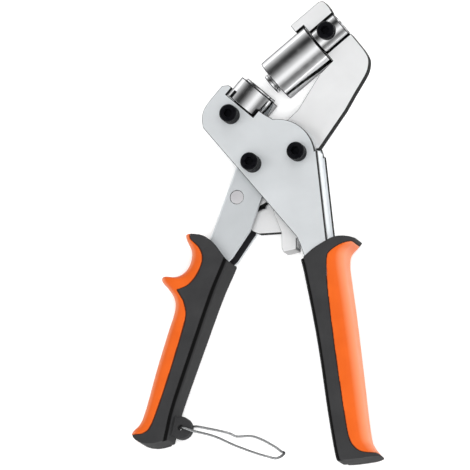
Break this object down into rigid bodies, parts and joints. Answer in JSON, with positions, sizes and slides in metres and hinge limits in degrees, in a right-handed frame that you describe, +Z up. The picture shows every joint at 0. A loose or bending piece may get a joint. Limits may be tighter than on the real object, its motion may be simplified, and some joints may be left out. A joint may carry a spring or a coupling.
{
  "type": "eyelet pliers",
  "caption": "Hand pliers with a fixed two-plate body, a hinged jaw arm with a punch die over a ring die, soft-covered handles and a wire bail.",
  "frame": {"origin": "centre of the bounding box in X and Y, at the lowest points of the lying tool", "axes": "+Y along the tool from the grips to the jaws, +X to the right handle, +Z up out of the front side plate"},
  "size_m": [0.1224, 0.2242, 0.0291],
  "materials": {
    "plate_steel": "satin zinc-plated sheet",
    "channel_steel": "satin zinc-plated folded sheet",
    "arm_steel": "satin plated plate",
    "chrome": "polished",
    "black_steel": "black oxide",
    "spring_steel": "drawn wire",
    "dark_plastic": "fine grained",
    "orange_plastic": "fine grained, softer"
  },
  "bodies": {
    "fixed_body": {"front_side_plate": "plate_steel", "rear_side_plate": "plate_steel", "right_handle_channel": "channel_steel", "lower_die": "chrome", "lower_die_holder": "black_steel", "lower_die_bolt": "black_steel", "handle_pivot_bolt": "black_steel", "jaw_pivot_bolt": "black_steel", "handle_pivot_bush": "chrome", "jaw_pivot_bush": "chrome", "front_jaw_washer": "chrome", "rear_jaw_washer": "chrome", "return_spring": "spring_steel", "spring_post": "chrome", "tail_guide": "arm_steel", "right_grip_core": "dark_plastic", "right_grip_inlay": "orange_plastic"},
    "left_handle": {"left_handle_channel": "channel_steel", "drive_rivet": "chrome", "left_grip_core": "dark_plastic", "left_grip_inlay": "orange_plastic"},
    "upper_jaw": {"jaw_arm": "arm_steel", "jaw_nose": "arm_steel", "upper_die_holder": "chrome", "upper_die": "chrome", "punch_tip": "chrome", "upper_die_screw": "black_steel"},
    "bail": {"wire_bail": "spring_steel"}
  },
  "joints": [
    {"name": "handle_close", "type": "hinge", "parent": "fixed_body", "child": "left_handle", "pos_m": [0.00007, 0.03295, 0.01127], "axis": [0, 0, 1], "range_deg": [0, 26], "stiffness_Nm_per_rad": 0.3, "springref_deg": -20.05, "deforming": ["return_spring"]},
    {"name": "jaw_close", "type": "hinge", "parent": "fixed_body", "child": "upper_jaw", "pos_m": [0.02236, 0.03724, 0.01127], "axis": [0, 0, 1], "range_deg": [0, 10.4]},
    {"name": "bail_swing", "type": "hinge", "parent": "left_handle", "child": "bail", "pos_m": [-0.03767, -0.09132, 0.01127], "axis": [0, 0, 1], "range_deg": [-91, 0]}
  ],
  "couplings": [
    {"joint": "jaw_close", "follows": "handle_close", "ratio": 0.4},
    {"joint": "bail_swing", "follows": "handle_close", "ratio": -3.5}
  ]
}
